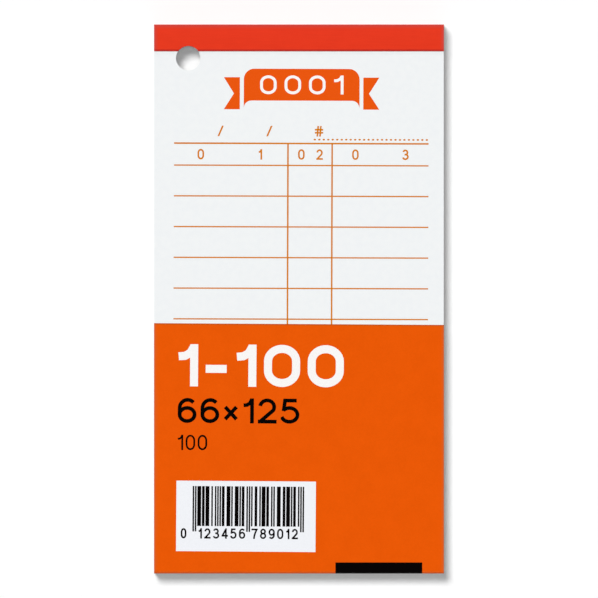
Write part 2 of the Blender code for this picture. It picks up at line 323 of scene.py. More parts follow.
def numeralMesh(name, text, box, pen, gap, thickness, material):
    # a row of numerals that fills a box of (left, right, low, high); pen and gap are shares of its height
    left, right, low, high = box
    height = high - low
    widths = [numerals["narrow"].get(character, numerals["width"]) for character in text]
    spread = ((right - left) / height - gap * (len(text) - 1)) / sum(widths)
    row = bmesh.new()
    mesh = bpy.data.meshes.new(name)
    at = left
    for character, width in zip(text, widths):
        intoMesh(drawNumeral(character, width * spread, pen), mesh)
        mesh.transform(Matrix.Translation((at, low, 0)) @ Matrix.Diagonal((height, height, 1, 1)))
        row.from_mesh(mesh)
        at += (width * spread + gap) * height
    bmesh.ops.triangulate(row, faces=row.faces)
    raised = bmesh.ops.extrude_face_region(row, geom=row.faces[:])["geom"]
    bmesh.ops.translate(row, verts=[part for part in raised if isinstance(part, bmesh.types.BMVert)],
                        vec=(0, 0, thickness))
    bmesh.ops.recalc_face_normals(row, faces=row.faces)
    mesh.materials.append(material)
    return intoMesh(row, mesh)


# Materials

def newMaterial(name, colour, roughness, metallic=0.0, specular=0.5, tint=(1, 1, 1)):
    # tint colours the gloss seen square on, as an ink's own colour does
    material = bpy.data.materials.new(name)
    material.use_nodes = True
    tree = material.node_tree
    shader = tree.nodes["Principled BSDF"]
    shader.inputs["Base Color"].default_value = (*colour, 1)
    shader.inputs["Roughness"].default_value = roughness
    shader.inputs["Metallic"].default_value = metallic
    shader.inputs["Specular IOR Level"].default_value = specular
    shader.inputs["Specular Tint"].default_value = (*tint, 1)
    material.diffuse_color = (*colour, 1)
    return material, tree, shader


def mixColours(tree, amount, first, second):
    node = addNode(tree, "ShaderNodeMix", data_type="RGBA")
    for label, value in (("Factor", amount), ("A", first), ("B", second)):
        socket = next(s for s in node.inputs if s.name == label and s.enabled)
        if isinstance(value, tuple):
            socket.default_value = (*value, 1)
        else:
            tree.links.new(value, socket)
    return next(s for s in node.outputs if s.enabled)


def onPiece(tree):
    # the place in metres that a pattern follows
    return tree.nodes.new("ShaderNodeTexCoord").outputs["Object"]


def noise(tree, where, scale, detail=3.0, roughness=0.5, low=0.35, high=0.65):
    node = addNode(tree, "ShaderNodeTexNoise",
                   {"Vector": where, "Scale": scale, "Detail": detail, "Roughness": roughness})
    return addStep(tree, "ShaderNodeMapRange",
                   {"Value": node.outputs["Fac"], "From Min": low, "From Max": high})


def grain(tree, where, scale):
    # noise with a scale for each axis
    return noise(tree, addStep(tree, "ShaderNodeMapping", {"Vector": where, "Scale": scale}), 1)


def nearEdge(tree, distance, reach, power=1.0):
    # 1 at an edge, falling to 0 at a reach from it
    near = addMath(tree, "SUBTRACT", 1, addMath(tree, "DIVIDE", distance, reach), clamp=True)
    return addMath(tree, "POWER", near, power)


def alongMap(tree, name):
    where = addStep(tree, "ShaderNodeUVMap", uv_map=name)
    return where, axisOf(tree, where, 1)


def fromSides(tree, halfWidth):
    # distance from the nearer of the pad's two long sides
    aside = axisOf(tree, onPiece(tree), 0)
    return addMath(tree, "SUBTRACT", halfWidth, addMath(tree, "ABSOLUTE", aside))


def bump(tree, shader, height, distance, strength):
    relief = addStep(tree, "ShaderNodeBump", {"Height": height, "Distance": distance, "Strength": strength})
    tree.links.new(relief, shader.inputs["Normal"])


def makeGrained(name, look):
    # a colour and a second one, mixed by one grain that also roughens the surface
    material, tree, shader = newMaterial(name, look["colour"], look["roughness"], look.get("metallic", 0.0),
                                         look.get("specular", 0.5), look.get("gloss", (1, 1, 1)))
    grained = grain(tree, onPiece(tree), look["grainScale"])
    amount = addMath(tree, "MULTIPLY", grained, look["share"])
    tree.links.new(mixColours(tree, amount, look["colour"], look["second"]), shader.inputs["Base Color"])
    bump(tree, shader, grained, look["grainHeight"], look["bump"])
    return material


def makeFlecked(name, look):
    # pulp: fibres that darken and roughen the surface, and scattered flecks
    material, tree, shader = newMaterial(name, look["colour"], look["roughness"], specular=look["specular"])
    where = onPiece(tree)
    fibres = noise(tree, where, look["fibreScale"], look["fibreDetail"], look["fibreRoughness"])
    flecks = noise(tree, where, look["fleckScale"], look["fleckDetail"], low=look["fleckFrom"],
                   high=look["fleckTo"])
    base = mixColours(tree, addMath(tree, "MULTIPLY", fibres, look["fibreShare"]), look["colour"],
                      look["fibre"])
    flecked = mixColours(tree, addMath(tree, "MULTIPLY", flecks, look["fleckShare"]), base, look["fleck"])
    tree.links.new(flecked, shader.inputs["Base Color"])
    bump(tree, shader, fibres, look["fibreHeight"], look["bump"])
    return material


paperLook = {
    "colour": (0.895, 0.915, 0.920),
    "cloud": (0.865, 0.890, 0.905),
    "cloudScale": 700,     # flocs about a millimetre and a half across
    "cloudDetail": 2,
    "cloudShare": 0.6,
    # painted shade on the sheets' side faces, a random share for each sheet, so the stack's side shows lines
    # between sheets
    "edgeShade": (0.72, 0.73, 0.74),
    "edgeShadeShare": 0.5,
    "fibreScale": 5200,
    "fibreDetail": 4,
    "fibreRoughness": 0.6,
    "fibreShare": 0.12,
    "fibreHeight": 0.004 * mm,
    "bump": 0.6,
    "roughness": 0.85,
    "specular": 0.2,
}


def makePaper():
    look = paperLook
    material, tree, shader = newMaterial("checkPaper", look["colour"], look["roughness"],
                                         specular=look["specular"])
    where = onPiece(tree)
    clouds = noise(tree, where, look["cloudScale"], look["cloudDetail"])
    fibres = noise(tree, where, look["fibreScale"], look["fibreDetail"], look["fibreRoughness"])
    facing = tree.nodes.new("ShaderNodeTexCoord").outputs["Normal"]
    upwards = addMath(tree, "ABSOLUTE", axisOf(tree, facing, 2))
    # painted shade: on side faces only, in a random share for each sheet
    edgeShadeTone = addNode(tree, "ShaderNodeAttribute", attribute_name="sheetEdgeShade").outputs["Fac"]
    edgeShadeTone = addMath(tree, "MULTIPLY", edgeShadeTone, addMath(tree, "SUBTRACT", 1, upwards, clamp=True))
    mixed = mixColours(tree, addMath(tree, "MULTIPLY", clouds, look["cloudShare"]), look["colour"],
                       look["cloud"])
    sheetEdgesShaded = mixColours(tree, addMath(tree, "MULTIPLY", edgeShadeTone, look["edgeShadeShare"]), mixed, look["edgeShade"])
    grained = mixColours(tree, addMath(tree, "MULTIPLY", fibres, look["fibreShare"]), sheetEdgesShaded, look["cloud"])
    tree.links.new(grained, shader.inputs["Base Color"])
    bump(tree, shader, fibres, look["fibreHeight"], look["bump"])
    return material


cardLook = {
    "colour": (0.765, 0.087, 0.0024),
    "deep": (0.715, 0.078, 0.0018),
    "gloss": (0.95, 0.20, 0.0),
    "patchScale": 260,
    "grainScale": 2600,
    "grainHeight": 0.002 * mm,
    "bump": 0.5,
    "roughness": 0.5,
    "rim": (0.58, 0.105, 0.022),   # painted shade along the long sides and on the folds, where the card's rounded edges turn from the light
    "rimReach": 0.70 * mm,
    "rimWander": 0.30 * mm,
    "wanderScale": 420,
    "rimFade": 1.2,
    "foldShadeReach": 0.60 * mm,
    "foldShadeShare": 0.7,
    # painted shade along the flap's cut edge
    "cutEdgeShade": (0.42, 0.075, 0.010),
    "cutShadeReach": 0.44 * mm,
    "fade": 0.8,
}


def makeCard():
    # coated face, with painted shade along the pad's long sides, along its cut edge and on its folds
    look = cardLook
    material, tree, shader = newMaterial("coverPrint", look["colour"], look["roughness"], tint=look["gloss"])
    where = onPiece(tree)
    patches = noise(tree, where, look["patchScale"])
    specks = noise(tree, where, look["grainScale"])
    amount = addMath(tree, "MULTIPLY", addMath(tree, "ADD", patches, specks), 0.5)
    mottled = mixColours(tree, amount, look["colour"], look["deep"])
    # painted shade: darker along the long sides and on the fold, where the card turns from the light
    wander = noise(tree, where, look["wanderScale"])
    reach = addMath(tree, "MULTIPLY_ADD", wander, look["rimWander"], look["rimReach"])
    sides = nearEdge(tree, fromSides(tree, flapHigh.x), reach, look["rimFade"])
    fold = nearEdge(tree, alongMap(tree, "fold")[1], look["foldShadeReach"], look["fade"])
    paintedShade = addMath(tree, "MAXIMUM", sides, addMath(tree, "MULTIPLY", fold, look["foldShadeShare"]))
    rimmed = mixColours(tree, paintedShade, mottled, look["rim"])
    # painted shade along the cut edge
    cut = nearEdge(tree, alongMap(tree, "wrap")[1], look["cutShadeReach"], look["fade"])
    tree.links.new(mixColours(tree, cut, rimmed, look["cutEdgeShade"]), shader.inputs["Base Color"])
    bump(tree, shader, specks, look["grainHeight"], look["bump"])
    return material


cardInsideLook = {
    "colour": (0.80, 0.79, 0.76),
    "fibre": (0.70, 0.69, 0.66),
    "fibreScale": 3200,
    "fibreDetail": 4,
    "fibreRoughness": 0.6,
    "fibreShare": 0.3,
    "fibreHeight": 0.004 * mm,
    "fleck": (0.48, 0.45, 0.40),
    "fleckScale": 1500,
    "fleckDetail": 2,
    "fleckFrom": 0.62,
    "fleckTo": 0.70,
    "fleckShare": 0.35,
    "bump": 0.6,
    "roughness": 0.8,
    "specular": 0.2,
}

cardCoreLook = {
    "colour": (0.72, 0.66, 0.58),
    "second": (0.55, 0.40, 0.30),
    "share": 1.0,
    "grainScale": (900, 900, 16000),   # layers that lie flat
    "grainHeight": 0.01 * mm,
    "bump": 0.7,
    "roughness": 0.9,
    "specular": 0.1,
}

tapeLook = {
    "colour": (0.740, 0.036, 0.0120),
    "deep": (0.680, 0.030, 0.0105),
    "gloss": (0.95, 0.12, 0.05),
    "streakScale": (180, 2600, 1),
    "streakShare": 0.35,
    "blotchScale": (300, 300, 1),
    "blotchShare": 0.3,
    "threadPitch": 0.24 * mm,
    "threadHeight": 0.012 * mm,
    "threadShare": 0.2,
    "bump": 0.35,
    "roughness": 0.55,
    # painted shade on the bend round the head and at the tape's two ends
    "paintedShade": (0.50, 0.060, 0.055),
    "paintedShadeShare": 0.8,
    "rimReach": 0.95 * mm,
    # painted shade, a dark line along the tape's cut edge
    "cutEdgeShade": (0.34, 0.016, 0.018),
    "cutShadeReach": 0.55 * mm,
    "cutShadeFade": 0.8,
}


def makeTape():
    # coated cloth: fine square weave under the colour, with painted shade where it is cut or bent and at its
    # ends
    look = tapeLook
    material, tree, shader = newMaterial("tapeCloth", look["colour"], look["roughness"], tint=look["gloss"])
    where, fromEdge = alongMap(tree, "wrap")
    turns = 2 * math.pi / look["threadPitch"]
    warp = addMath(tree, "SINE", addMath(tree, "MULTIPLY", axisOf(tree, where, 0), turns))
    weft = addMath(tree, "SINE", addMath(tree, "MULTIPLY", fromEdge, turns))
    weave = addMath(tree, "MULTIPLY_ADD", addMath(tree, "MULTIPLY", warp, weft), 0.5, 0.5)
    streaks = grain(tree, where, look["streakScale"])
    blotches = grain(tree, where, look["blotchScale"])
    amount = addMath(tree, "MULTIPLY", streaks, look["streakShare"])
    amount = addMath(tree, "MULTIPLY_ADD", blotches, look["blotchShare"], amount)
    amount = addMath(tree, "MULTIPLY_ADD", weave, look["threadShare"], amount)
    mottled = mixColours(tree, amount, look["colour"], look["deep"])
    # painted shade at the tape's ends and on its bend round the head
    endShade = nearEdge(tree, fromSides(tree, tapeHigh.x), look["rimReach"])
    fold = nearEdge(tree, alongMap(tree, "fold")[1], look["rimReach"])
    paintedShade = addMath(tree, "MULTIPLY", addMath(tree, "MAXIMUM", endShade, fold), look["paintedShadeShare"])
    rimmed = mixColours(tree, paintedShade, mottled, look["paintedShade"])
    # painted shade along the tape's cut edge
    cut = nearEdge(tree, fromEdge, look["cutShadeReach"], look["cutShadeFade"])
    tree.links.new(mixColours(tree, cut, rimmed, look["cutEdgeShade"]), shader.inputs["Base Color"])
    bump(tree, shader, weave, look["threadHeight"], look["bump"])
    return material


tapeCoreLook = {
    "colour": (0.42, 0.05, 0.03),
    "second": (0.62, 0.36, 0.30),      # frayed threads
    "share": 1.0,
    "grainScale": (4200, 4200, 4200),
    "grainHeight": 0.02 * mm,
    "bump": 0.8,
    "roughness": 0.9,
    "specular": 0.1,
}

boardLook = {
    "colour": (0.44, 0.40, 0.35),
    "fibre": (0.33, 0.30, 0.26),
    "fibreScale": 2400,
    "fibreDetail": 5,
    "fibreRoughness": 0.65,
    "fibreShare": 1.0,
    "fibreHeight": 0.02 * mm,
    "fleck": (0.60, 0.58, 0.54),
    "fleckScale": 900,
    "fleckDetail": 2,
    "fleckFrom": 0.60,
    "fleckTo": 0.72,
    "fleckShare": 0.6,
    "bump": 0.8,
    "roughness": 0.95,
    "specular": 0.1,
}

wireLook = {
    "colour": (0.66, 0.66, 0.67),
    "second": (0.50, 0.50, 0.51),
    "share": 1.0,
    "grainScale": (400, 9000, 9000),   # drawn along the crown
    "grainHeight": 0.004 * mm,
    "bump": 0.4,
    "roughness": 0.28,
    "metallic": 1.0,
}

inkLook = {
    "form": (0.615, 0.182, 0.0010),
    "ribbon": (0.772, 0.087, 0.0030),
    "white": (0.835, 0.850, 0.885),
    "knockout": (0.900, 0.880, 0.865),
    "black": (0.0008, 0.0003, 0.0003),
    "thinGain": 1.05,                  # how much paler an ink is where it lies thin
    "thinLift": 0.006,
    "glossLift": 0.01,
    "share": 0.5,
    "grainScale": (3800, 3800, 3800),  # about that of the paper's grain
    "grainHeight": 0.001 * mm,
    "bump": 0.4,
    "roughness": 0.6,
    "blackRoughness": 0.5,
}


def makeInk(name, colour, roughness=inkLook["roughness"], thinLift=inkLook["thinLift"]):
    thin = tuple(min(1.0, channel * inkLook["thinGain"] + thinLift) for channel in colour)
    gloss = tuple(min(1.0, channel + inkLook["glossLift"]) for channel in colour)
    return makeGrained(name, {**inkLook, "colour": colour, "second": thin, "gloss": gloss,
                              "roughness": roughness})


checkPaper = makePaper()
coverPrint = makeCard()
coverInside = makeFlecked("coverInside", cardInsideLook)
cardCore = makeGrained("cardCore", cardCoreLook)
tapeCloth = makeTape()
tapeCore = makeGrained("tapeCore", tapeCoreLook)
greyBoard = makeFlecked("greyBoard", boardLook)
stapleWire = makeGrained("stapleWire", wireLook)
formInk = makeInk("formInk", inkLook["form"])
ribbonInk = makeInk("ribbonInk", inkLook["ribbon"])
whiteInk = makeInk("whiteInk", inkLook["white"])
bareCard = makeInk("bareCard", inkLook["knockout"])
blackInk = makeInk("blackInk", inkLook["black"], inkLook["blackRoughness"], 0.0)
print("materials ready:", len(bpy.data.materials))


# Checks

sheet = {
    "perforationPitch": 2.3 * mm,
    "cutLength": 1.6 * mm,
    "cutWidth": 0.03 * mm,
    "cutClearance": 0.6,   # of a cut's length, from its middle to the edge of the hang hole
    "holeRadius": 2.8 * mm,
    "holeSides": 48,
    "count": 99,           # under the top one
    "drift": 0.045 * mm,
    # how much the painted shade on the sheets' sides varies from sheet to sheet
    "edgeShadeSpread": 0.9,
    "seed": 11,
}


def sheetTree():
    # outline, hang hole and a row of cuts, filled and raised to the sheet's thickness
    tree, source = newTree("perforatedSheet", {
        "Width": "Float", "Foot": "Float", "Head": "Float", "Thickness": "Float",
        "Hole": "Vector", "Hole Radius": "Float", "Hole Sides": "Int",
        "Cut Row": "Float", "Cut Count": "Int", "Cut Pitch": "Float",
        "Cut Length": "Float", "Cut Width": "Float", "Cut Clearance": "Float"})
    length = addMath(tree, "SUBTRACT", source["Head"], source["Foot"])
    middle = addMath(tree, "MULTIPLY", addMath(tree, "ADD", source["Head"], source["Foot"]), 0.5)
    outline = addStep(tree, "GeometryNodeCurvePrimitiveQuadrilateral",
                      {"Width": source["Width"], "Height": length})
    atMiddle = addStep(tree, "ShaderNodeCombineXYZ", {"Y": middle})
    outline = addStep(tree, "GeometryNodeTransform", {"Geometry": outline, "Translation": atMiddle})
    hole = addStep(tree, "GeometryNodeCurvePrimitiveCircle",
                   {"Resolution": source["Hole Sides"], "Radius": source["Hole Radius"]})
    hole = addStep(tree, "GeometryNodeTransform", {"Geometry": hole, "Translation": source["Hole"]})

    steps = addMath(tree, "SUBTRACT", source["Cut Count"], 1)
    startX = addMath(tree, "MULTIPLY", addMath(tree, "MULTIPLY", steps, source["Cut Pitch"]), -0.5)
    start = addStep(tree, "ShaderNodeCombineXYZ", {"X": startX, "Y": source["Cut Row"]})
    step = addStep(tree, "ShaderNodeCombineXYZ", {"X": source["Cut Pitch"]})
    row = addStep(tree, "GeometryNodeMeshLine",
                  {"Count": source["Cut Count"], "Start Location": start, "Offset": step}, mode="OFFSET")
    place = tree.nodes.new("GeometryNodeInputPosition").outputs[0]
    fromHole = addStep(tree, "ShaderNodeVectorMath", {0: place, 1: source["Hole"]}, operation="SUBTRACT")
    aside = addMath(tree, "ABSOLUTE", axisOf(tree, fromHole, 0))
    clear = addMath(tree, "MULTIPLY_ADD", source["Cut Length"], source["Cut Clearance"],
                    source["Hole Radius"])
    overHole = addStep(tree, "FunctionNodeCompare", {0: aside, 1: clear}, operation="LESS_THAN")
    row = addStep(tree, "GeometryNodeDeleteGeometry", {"Geometry": row, "Selection": overHole},
                  domain="POINT")
    cut = addStep(tree, "GeometryNodeCurvePrimitiveQuadrilateral",
                  {"Width": source["Cut Length"], "Height": source["Cut Width"]})
    cuts = addStep(tree, "GeometryNodeInstanceOnPoints", {"Points": row, "Instance": cut})
    cuts = addStep(tree, "GeometryNodeRealizeInstances", {"Geometry": cuts})

    filled = addStep(tree, "GeometryNodeFillCurve", {"Curve": joined(tree, cuts, hole, outline)})
    raised = addStep(tree, "GeometryNodeExtrudeMesh",
                     {"Mesh": filled, "Offset Scale": source["Thickness"], "Individual": False})
    under = addStep(tree, "GeometryNodeFlipFaces", {"Mesh": filled})
    closed = addStep(tree, "GeometryNodeMergeByDistance",
                     {"Geometry": joined(tree, raised, under), "Distance": weldDistance})
    return endTree(tree, source, closed)


def rowTree():
    # copies of a piece at equal steps, each a little off its place and with its own random share of painted
    # edge shade
    tree, source = newTree("copiesInARow", {
        "Count": "Int", "Step": "Vector", "Drift": "Float", "Edge Shade": "Float", "Seed": "Int"})
    line = addStep(tree, "GeometryNodeMeshLine", {"Count": source["Count"], "Offset": source["Step"]},
                   mode="OFFSET")
    copies = addStep(tree, "GeometryNodeInstanceOnPoints",
                     {"Points": line, "Instance": source["Geometry"]})
    drift = addStep(tree, "FunctionNodeRandomValue",
                    {"Min": (-1, -1, 0), "Max": (1, 1, 0), "Seed": source["Seed"]},
                    data_type="FLOAT_VECTOR")
    drift = addStep(tree, "ShaderNodeVectorMath", {0: drift, "Scale": source["Drift"]}, operation="SCALE")
    copies = addStep(tree, "GeometryNodeTranslateInstances",
                     {"Instances": copies, "Translation": drift, "Local Space": False})
    edgeShadeTone = addNode(tree, "FunctionNodeRandomValue", {"Seed": source["Seed"]}, data_type="FLOAT").outputs[1]
    edgeShadeTone = addMath(tree, "MULTIPLY", edgeShadeTone, source["Edge Shade"])
    copies = addStep(tree, "GeometryNodeStoreNamedAttribute",
                     {"Geometry": copies, "Name": "sheetEdgeShade", "Value": edgeShadeTone},
                     data_type="FLOAT", domain="INSTANCE")
    return endTree(tree, source, copies)


rowOfCopies = rowTree()


def copyInARow(name, mesh, count, step, drift=0.0, edgeShadeTone=0.0, seed=0):
    values = {"Count": count, "Step": step, "Drift": drift, "Edge Shade": edgeShadeTone, "Seed": seed,
              "Material": mesh.materials[0]}
    return runTree(name, mesh, rowOfCopies, values)


def makeSheet():
    values = {"Width": sheetWidth, "Foot": leafLow.y, "Head": stubHigh.y, "Thickness": sheetThickness,
              "Hole": (holeX, holeY, 0), "Hole Radius": sheet["holeRadius"],
              "Hole Sides": sheet["holeSides"], "Cut Row": tearLine,
              "Cut Count": int(sheetWidth / sheet["perforationPitch"]),
              "Cut Pitch": sheet["perforationPitch"], "Cut Length": sheet["cutLength"],
              "Cut Width": sheet["cutWidth"], "Cut Clearance": sheet["cutClearance"],
              "Material": checkPaper}
    return move(runTree("sheet", bpy.data.meshes.new("sheet"), sheetTree(), values), 0, 0, leafLow.z)


def halfSheet(name, whole, cutY, side):
    # side 1 keeps what lies towards the head, side -1 what lies towards the foot
    shape = bmesh.new()
    shape.from_mesh(whole)
    cut = bmesh.ops.bisect_plane(shape, geom=everything(shape), dist=weldDistance, plane_co=(0, cutY, 0),
                                 plane_no=(0, side, 0), clear_inner=True)
    rim = [part for part in cut["geom_cut"] if isinstance(part, bmesh.types.BMEdge)]
    bmesh.ops.edgeloop_fill(shape, edges=rim)
    bmesh.ops.recalc_face_normals(shape, faces=shape.faces)
    return onePaint(intoMesh(shape, bpy.data.meshes.new(name)), checkPaper)


wholeSheet = makeSheet()

topLeaf = newPiece("topLeaf", halfSheet("topLeaf", wholeSheet, leafHigh.y, -1))
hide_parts("check_001")
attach(topLeaf, "top_check")

topStub = newPiece("topStub", halfSheet("topStub", wholeSheet, stubLow.y, 1))
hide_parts("stub_001")
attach(topStub, "pad")

firstBelow = move(wholeSheet.copy(), 0, 0, -sheetPitch)
stackMesh = copyInARow("sheetStack", firstBelow, sheet["count"], (0, 0, -sheetPitch), sheet["drift"],
                       sheet["edgeShadeSpread"], sheet["seed"])
sheetStack = newPiece("sheetStack", stackMesh)
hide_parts(*checkNodes)
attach(sheetStack, "pad")
print("checks:", sheet["count"] + 1, "sheets,", len(stackMesh.polygons), "faces in the stack")


# Print on the checks

form = {
    "inkThickness": 0.004 * mm,
    "turn": -0.19,          # degrees that the press was off the square
    "left": -28.45 * mm,
    "right": 29.50 * mm,
    "headRule": 35.40 * mm,
    "firstRow": 30.40 * mm,
    "rowPitch": 7.0 * mm,
    "rowCount": 14,         # down under the flap to the foot
    "footMargin": 2.0 * mm,
    "lineWidth": 0.30 * mm,
    "frameWidth": 0.36 * mm,
    "columns": (-2.50 * mm, 7.55 * mm),
    "dotRow": 36.30 * mm,
    "dotLeft": 3.60 * mm,
    "dotCount": 26,
    "dotPitch": 1.02 * mm,
    "dotSize": 0.58 * mm,
    "dotHeight": 0.42 * mm,
    "dotSides": 8,
    "dateMarks": (-18.6 * mm, -7.5 * mm),
    "headText": "010203",
    "headDigits": (-23.1 * mm, -9.3 * mm, -0.2 * mm, 3.95 * mm, 12.1 * mm, 23.5 * mm),
    "markRow": 37.0 * mm,
    "digitHeight": 2.4 * mm,
    "digitWidth": 1.5 * mm,
    "hashWidth": 1.9 * mm,
    "pen": 0.158,
}

ribbon = {
    "left": -12.60 * mm,
    "right": 13.75 * mm,
    "top": 52.40 * mm,
    "bottom": 45.15 * mm,
    "tips": 43.40 * mm,
    "corner": 2.4 * mm,
    "tailTop": 50.45 * mm,
    "tailBottom": 43.15 * mm,
    "notch": 46.75 * mm,
    "tails": ((-13.50 * mm, -17.15 * mm, -14.85 * mm), (14.60 * mm, 18.25 * mm, 15.90 * mm)),
    "digits": (-8.9 * mm, 10.1 * mm, 46.60 * mm, 50.90 * mm),
    "pen": 0.15,
    "gap": 0.42,
    "arcSteps": 10,
}


def bannerOutline():
    left, right, steps = ribbon["left"], ribbon["right"], ribbon["arcSteps"]
    corner, flare = ribbon["corner"], ribbon["bottom"] - ribbon["tips"]
    return (arc(left + flare, ribbon["tips"], flare, 180, 90, steps)
            + arc(right - flare, ribbon["tips"], flare, 90, 0, steps)
            + arc(right - corner, ribbon["top"] - corner, corner, 0, 90, steps)
            + arc(left + corner, ribbon["top"] - corner, corner, 90, 180, steps))


def tailOutlines():
    return [[(inner, ribbon["tailBottom"]), (inner, ribbon["tailTop"]), (outer, ribbon["tailTop"]),
             (notch, ribbon["notch"]), (outer, ribbon["tailBottom"])]
            for inner, outer, notch in ribbon["tails"]]


def makeRules():
    # the rows, the rule at their head, the two columns and the dotted line
    ink = form["inkThickness"]
    thin, half = form["lineWidth"] / 2, form["frameWidth"] / 2
    left, right, head = form["left"], form["right"], form["headRule"]
    lowest = leafLow.y + form["footMargin"]
    rule = move(flatMesh("rule", [rectangle(left, right, -thin, thin)], ink, formInk), 0, form["firstRow"], 0)
    rows = copyInARow("rows", rule, form["rowCount"], (0, -form["rowPitch"], 0))
    headRule = flatMesh("headRule", [rectangle(left, right, head - half, head + half)], ink, formInk)
    columns = [flatMesh("column", [rectangle(x - half, x + half, lowest, head - half)], ink / 2, formInk)
               for x in form["columns"]]
    dot = flatMesh("dot", [circle(0, 0, form["dotHeight"] / 2, form["dotSides"])], ink, formInk)
    dot.transform(Matrix.Diagonal((form["dotSize"] / form["dotHeight"], 1, 1, 1)))
    dot = move(dot, form["dotLeft"], form["dotRow"], 0)
    return [rows, headRule, *columns, copyInARow("dots", dot, form["dotCount"], (form["dotPitch"], 0, 0))]


def makeMarks():
    # the numerals under the head rule and the marks over it
    wide, tall = form["digitWidth"], form["digitHeight"]
    headLow = (form["headRule"] + form["firstRow"] - tall) / 2
    marks = [(text, x, headLow, wide) for text, x in zip(form["headText"], form["headDigits"])]
    marks += [("/", x, form["markRow"], wide) for x in form["dateMarks"]]
    marks.append(("#", form["dotLeft"], form["markRow"], form["hashWidth"]))
    meshes = []
    for text, x, low, width in marks:
        if text == "1":
            width *= numerals["narrow"][text] / numerals["width"]
        meshes.append(numeralMesh("mark", text, (x, x + width, low, low + tall), form["pen"], 0,
                                  form["inkThickness"], formInk))
    return meshes


def makeFormPrint(name, top, serial):
    # everything printed on one check whose face is at height top
    ink = form["inkThickness"]
    banner = flatMesh("banner", [bannerOutline()], ink, ribbonInk)
    tails = [flatMesh("tail", [outline], ink, ribbonInk) for outline in tailOutlines()]
    digits = numeralMesh("serial", serial, ribbon["digits"], ribbon["pen"], ribbon["gap"], ink, bareCard)
    meshes = [*makeRules(), banner, *tails, move(digits, 0, 0, ink / 2), *makeMarks()]
    printed = turnInPlace(joinMeshes(name, meshes), form["turn"], (0, form["headRule"]))
    return newPiece(name, move(printed, 0, 0, top))


leafPrint = makeFormPrint("leafPrint", leafHigh.z, "0001")
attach(leafPrint, "top_check")
nextPrint = makeFormPrint("nextPrint", nextHigh.z, "0002")
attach(nextPrint, "pad")
print("form printed on the top two checks")


# Sheets that are folded or wrapped round an edge of the pad

bend = {
    "steps": 8,
    "sharpAngle": 35,        # degrees, from which an edge is shaded as a corner
    "punchReach": 1.0 * mm,  # how far the punch goes past a sheet's outer faces
}

cover = {
    "bendRadius": 0.40 * mm,
    "creaseReach": 0.12 * mm,
    "rightEdgeDrop": 0.40 * mm,    # the flap is cut a little off the square
}

tape = {
    "bendRadius": 0.33 * mm,
    "glueLine": 0.06 * mm,
}


def bentSheet(name, path, left, right, thickness, materials, edgeAt, foldAt, endSlant=0.0):
    # outer face along a path in (y, z), thickened inwards. Two uv maps hold metres across the sheet
    # and metres from the path's point edgeAt ("wrap") or foldAt ("fold")
    shape = bmesh.new()
    wrap = shape.loops.layers.uv.new("wrap")
    fold = shape.loops.layers.uv.new("fold")
    lengths = [0.0]
    for start, end in zip(path, path[1:]):
        lengths.append(lengths[-1] + math.dist(start, end))
    rows = []
    for index, (y, z) in enumerate(path):
        slant = endSlant if index == len(path) - 1 else 0.0
        rows.append([shape.verts.new((left, y, z)), shape.verts.new((right, y + slant, z))])
    for index in range(len(path) - 1):
        corners = (rows[index][0], rows[index][1], rows[index + 1][1], rows[index + 1][0])
        face = shape.faces.new(corners)
        face.smooth = True
        for loop, (x, along) in zip(face.loops, ((left, index), (right, index), (right, index + 1),
                                                 (left, index + 1))):
            loop[wrap].uv = (x - left, abs(lengths[along] - lengths[edgeAt]))
            loop[fold].uv = (x - left, abs(lengths[along] - lengths[foldAt]))
    mesh = intoMesh(shape, bpy.data.meshes.new(name))
    for material in materials:
        mesh.materials.append(material)
    piece = newPiece(name, mesh)
    wall = piece.modifiers.new("thickness", "SOLIDIFY")
    wall.thickness = thickness
    wall.offset = -1
    wall.material_offset = 1
    wall.material_offset_rim = 2
    wall.use_even_offset = True
    return piece


def punchHole(piece, low, high):
    # the hang hole through one piece whose faces lie at low and high
    reach = bend["punchReach"]
    outline = circle(holeX, holeY, sheet["holeRadius"], sheet["holeSides"])
    cutter = flatMesh("punch", [outline], high - low + 2 * reach, cardCore)
    cutterPiece = newPiece("punch", move(cutter, 0, 0, low - reach))
    hole = piece.modifiers.new("hangHole", "BOOLEAN")
    hole.operation = "DIFFERENCE"
    hole.solver = "EXACT"
    hole.material_mode = "TRANSFER"
    hole.object = cutterPiece
    mesh = asMesh(piece)
    bpy.data.objects.remove(cutterPiece, do_unlink=True)
    return mesh


def finishBent(name, mesh):
    mesh.set_sharp_from_angle(angle=math.radians(bend["sharpAngle"]))
    return newPiece(name, mesh)


def foldOverFront(piece):
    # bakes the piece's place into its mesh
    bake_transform(piece)


